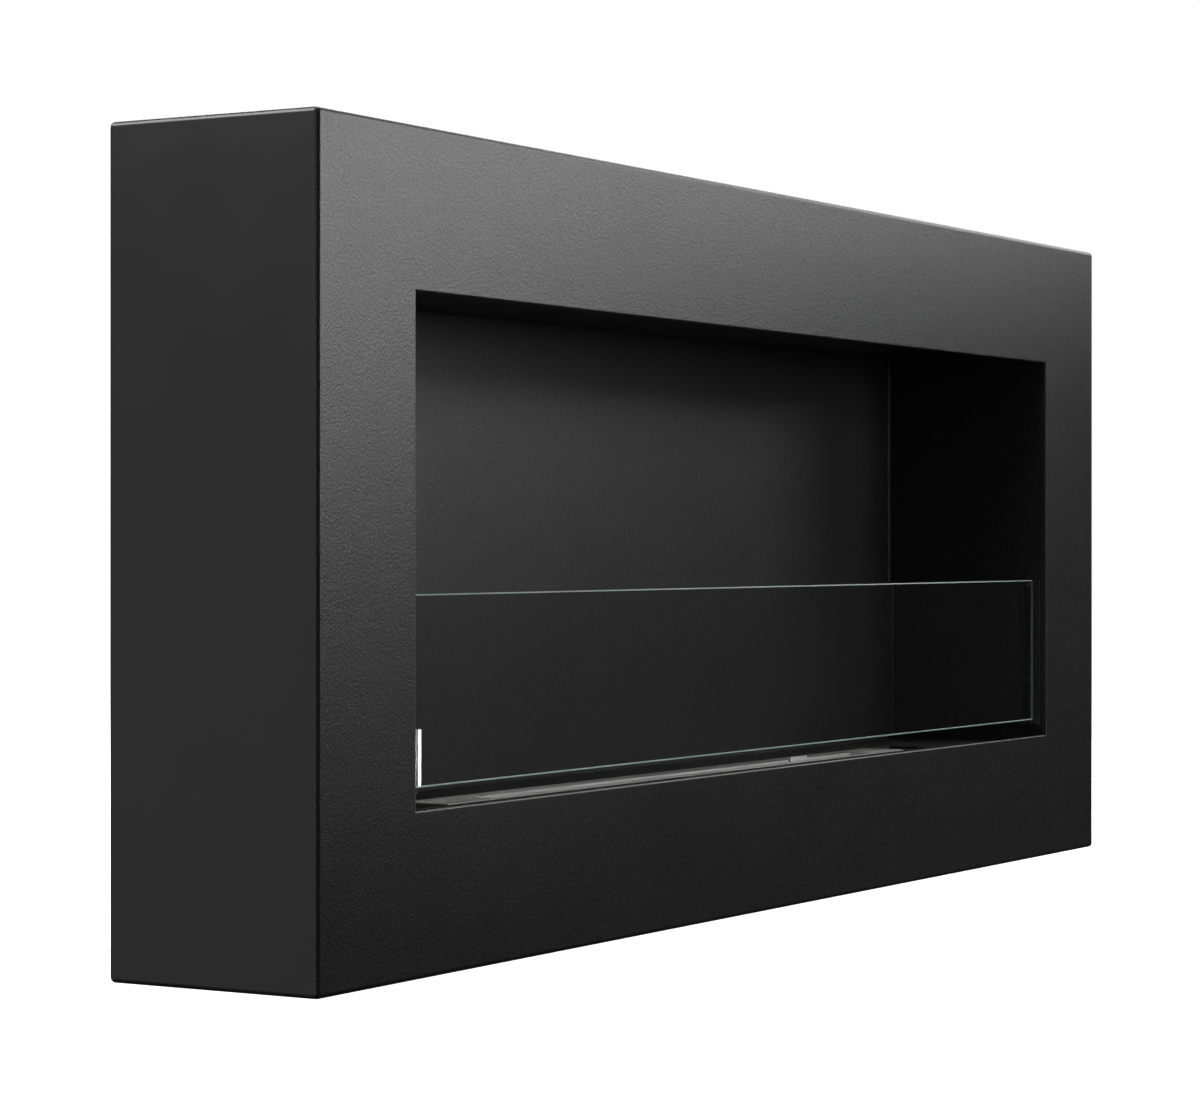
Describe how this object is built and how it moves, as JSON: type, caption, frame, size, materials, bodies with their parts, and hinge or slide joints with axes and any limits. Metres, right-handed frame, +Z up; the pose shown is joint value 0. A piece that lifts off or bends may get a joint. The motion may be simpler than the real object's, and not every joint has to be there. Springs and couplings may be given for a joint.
{
  "type": "wall fireplace",
  "caption": "Slim wall-hung ethanol fireplace: folded black steel casing with a wide window, recessed firebox, low glass guard and a drop-in slot burner with a sliding damper.",
  "frame": {"origin": "on the underside, at the centre of the casing's footprint", "axes": "+X to the right seen from the front, along the width; +Y from the window to the wall, through the depth; +Z up"},
  "size_m": [0.9, 0.12, 0.4],
  "materials": {
    "powder_coat": "heat-resistant black powder coat, fine texture, satin-matt",
    "galvanised_sheet": "hot-dip galvanised sheet, dull spangle",
    "zinc_fasteners": "bright zinc plate",
    "ceramic_spacer": "unglazed, matt",
    "toughened_glass": "clear toughened float glass with ground edges",
    "black_rivet": "gloss black",
    "silicone_pad": "matt black silicone",
    "brushed_stainless": "brushed along its length",
    "ceramic_wool": "white ceramic fibre"
  },
  "bodies": {
    "casing": {"outer_casing": "powder_coat", "rear_panel": "galvanised_sheet", "rear_panel_screws": "zinc_fasteners", "hanger_plate_left": "galvanised_sheet", "hanger_plate_right": "galvanised_sheet", "hanger_rivets": "zinc_fasteners", "firebox_liner": "powder_coat", "fascia_studs": "zinc_fasteners", "liner_nuts": "zinc_fasteners", "air_gap_spacers": "ceramic_spacer", "glass_guide_left": "powder_coat", "glass_guide_right": "powder_coat", "glass_guide_rivets": "black_rivet", "glass_rest_pads": "silicone_pad", "spill_tray": "galvanised_sheet", "spill_tray_studs": "zinc_fasteners", "spill_tray_nuts": "zinc_fasteners"},
    "glass": {"glass_panel": "toughened_glass"},
    "burner": {"burner_top_plate": "brushed_stainless", "burner_tank": "brushed_stainless", "ceramic_wool": "ceramic_wool", "damper_guide_left": "brushed_stainless", "damper_guide_right": "brushed_stainless"},
    "damper": {"damper_slide": "brushed_stainless"}
  },
  "joints": [
    {"name": "glass_lift", "type": "slide", "parent": "casing", "child": "glass", "axis": [0, 0, 1], "range_m": [0, 0.095]},
    {"name": "burner_lift", "type": "slide", "parent": "casing", "child": "burner", "axis": [0, 0, 1], "range_m": [0, 0.16]},
    {"name": "damper_close", "type": "slide", "parent": "burner", "child": "damper", "axis": [0, -1, 0], "range_m": [0, 0.0109]}
  ]
}
